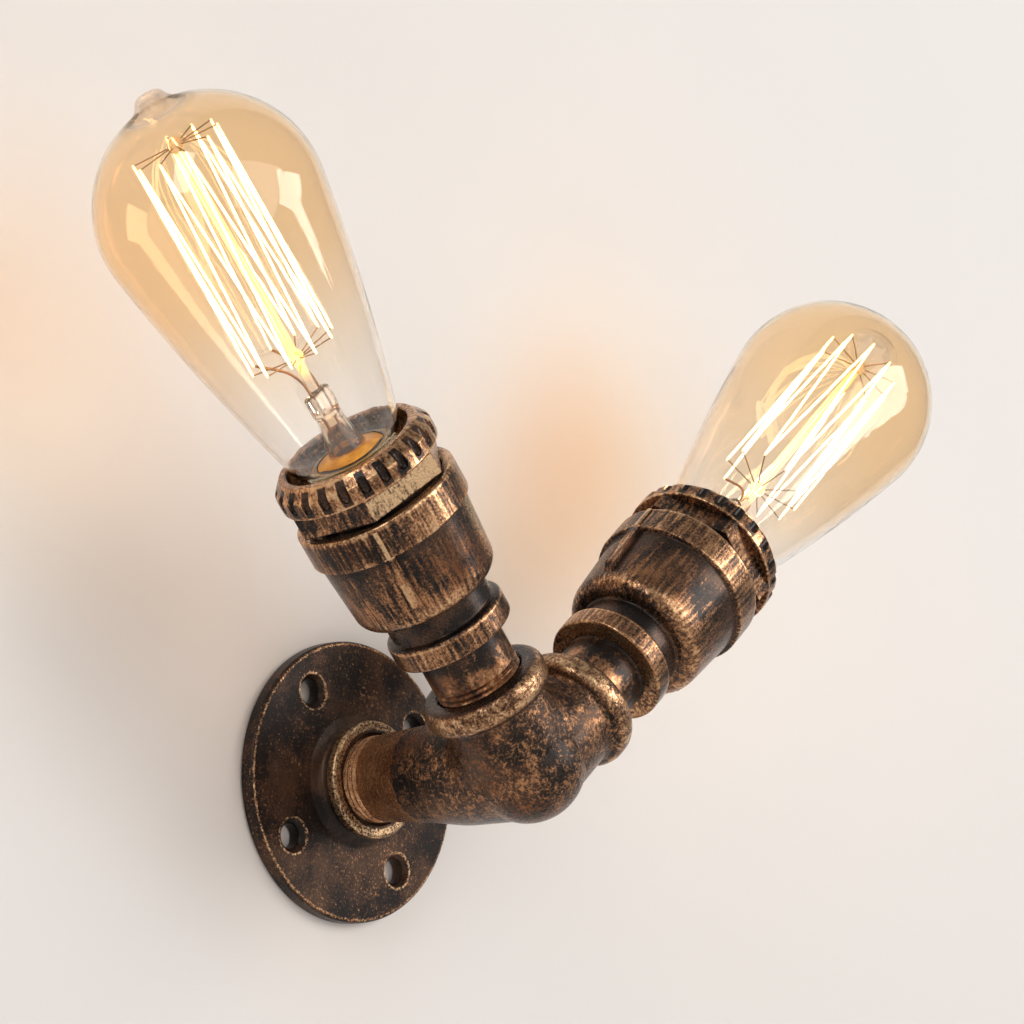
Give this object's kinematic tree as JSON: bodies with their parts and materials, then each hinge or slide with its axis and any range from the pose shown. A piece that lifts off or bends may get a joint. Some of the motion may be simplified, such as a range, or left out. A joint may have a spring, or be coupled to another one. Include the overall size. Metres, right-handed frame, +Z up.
{
  "type": "wall light",
  "caption": "Industrial pipe wall light: a round wall flange, a three-way elbow and two upward arms with crowned lampholder cups and long-neck filament bulbs.",
  "frame": {"origin": "centre of the wall flange's back face, on the wall", "axes": "wall in the plane Y = 0, the lamp stands out along -Y, +Z up, +X to the right for someone who faces the wall"},
  "size_m": [0.3286, 0.1059, 0.2059],
  "materials": {
    "flange_iron": "dark brown-black paint, rubbed copper on the rim and hole edges",
    "elbow_iron": "dark sand-cast paint with a dry-brushed copper highlight",
    "nipple_iron": "dark satin paint with rubbed copper patches",
    "cup_iron": "dark bronze paint streaked with copper along the axis",
    "bush_iron": "dark bronze paint with bright copper edges",
    "holder_plastic": "glazed off-white, heat resisting",
    "washer_fibre": "dark fibre",
    "shell_brass": "rolled, bright",
    "contact_brass": "sprung strip, bright",
    "terminal_brass": "machined",
    "screw_steel": "zinc plated",
    "live_insulation": "brown silicone insulation",
    "neutral_insulation": "blue silicone insulation",
    "block_plastic": "dark moulded plastic",
    "bulb_glass": "clear amber",
    "cap_metal": "rolled sheet, bright",
    "cap_cement": "baked cement",
    "insulator_glass": "black vitrite",
    "eyelet_metal": "soldered contact",
    "stem_glass": "clear",
    "filament_metal": "glowing strand",
    "support_metal": "fine drawn wire",
    "lead_metal": "drawn wire"
  },
  "bodies": {
    "wall_plate": {"wall_flange": "flange_iron"},
    "pipe_arms": {"three_way_elbow": "elbow_iron", "terminal_block": "block_plastic", "live_insert": "terminal_brass", "neutral_insert": "terminal_brass", "block_screws": "screw_steel", "left_nipple": "nipple_iron", "left_reducer": "cup_iron", "left_crown_bush": "bush_iron", "left_lampholder_body": "holder_plastic", "left_clamp_washer": "washer_fibre", "left_screw_shell": "shell_brass", "left_centre_contact": "contact_brass", "left_live_terminal": "terminal_brass", "left_neutral_terminal": "terminal_brass", "left_terminal_screws": "screw_steel", "left_live_wire": "live_insulation", "left_neutral_wire": "neutral_insulation", "right_nipple": "nipple_iron", "right_reducer": "cup_iron", "right_crown_bush": "bush_iron", "right_lampholder_body": "holder_plastic", "right_clamp_washer": "washer_fibre", "right_screw_shell": "shell_brass", "right_centre_contact": "contact_brass", "right_live_terminal": "terminal_brass", "right_neutral_terminal": "terminal_brass", "right_terminal_screws": "screw_steel", "right_live_wire": "live_insulation", "right_neutral_wire": "neutral_insulation"},
    "left_bulb_lift": {"left_bulb_eyelet": "eyelet_metal"},
    "left_bulb_screw": {"left_bulb_glass": "bulb_glass", "left_bulb_cap": "cap_metal", "left_bulb_cement": "cap_cement", "left_bulb_insulator": "insulator_glass", "left_bulb_stem": "stem_glass", "left_bulb_filament": "filament_metal", "left_bulb_supports": "support_metal", "left_bulb_leads": "lead_metal"},
    "right_bulb_lift": {"right_bulb_eyelet": "eyelet_metal"},
    "right_bulb_screw": {"right_bulb_glass": "bulb_glass", "right_bulb_cap": "cap_metal", "right_bulb_cement": "cap_cement", "right_bulb_insulator": "insulator_glass", "right_bulb_stem": "stem_glass", "right_bulb_filament": "filament_metal", "right_bulb_supports": "support_metal", "right_bulb_leads": "lead_metal"}
  },
  "joints": [
    {"name": "arms_swivel", "type": "hinge", "parent": "wall_plate", "child": "pipe_arms", "pos_m": [0, -0.0739, 0], "axis": [0, -1, 0], "range_deg": [-90, 90]},
    {"name": "left_bulb_turn", "type": "hinge", "parent": "left_bulb_lift", "child": "left_bulb_screw", "pos_m": [0, -0.0739, 0], "axis": [-0.7071, 0, 0.7071], "range_deg": [0, 1800]},
    {"name": "left_bulb_rise", "type": "slide", "parent": "pipe_arms", "child": "left_bulb_lift", "axis": [-0.7071, 0, 0.7071], "range_m": [0, 0.01816]},
    {"name": "right_bulb_turn", "type": "hinge", "parent": "right_bulb_lift", "child": "right_bulb_screw", "pos_m": [0, -0.0739, 0], "axis": [0.7071, 0, 0.7071], "range_deg": [0, 1800]},
    {"name": "right_bulb_rise", "type": "slide", "parent": "pipe_arms", "child": "right_bulb_lift", "axis": [0.7071, 0, 0.7071], "range_m": [0, 0.01816]}
  ],
  "couplings": [
    {"joint": "left_bulb_rise", "follows": "left_bulb_turn", "m_per_rad": 0.00057757},
    {"joint": "right_bulb_rise", "follows": "right_bulb_turn", "m_per_rad": 0.00057757}
  ]
}
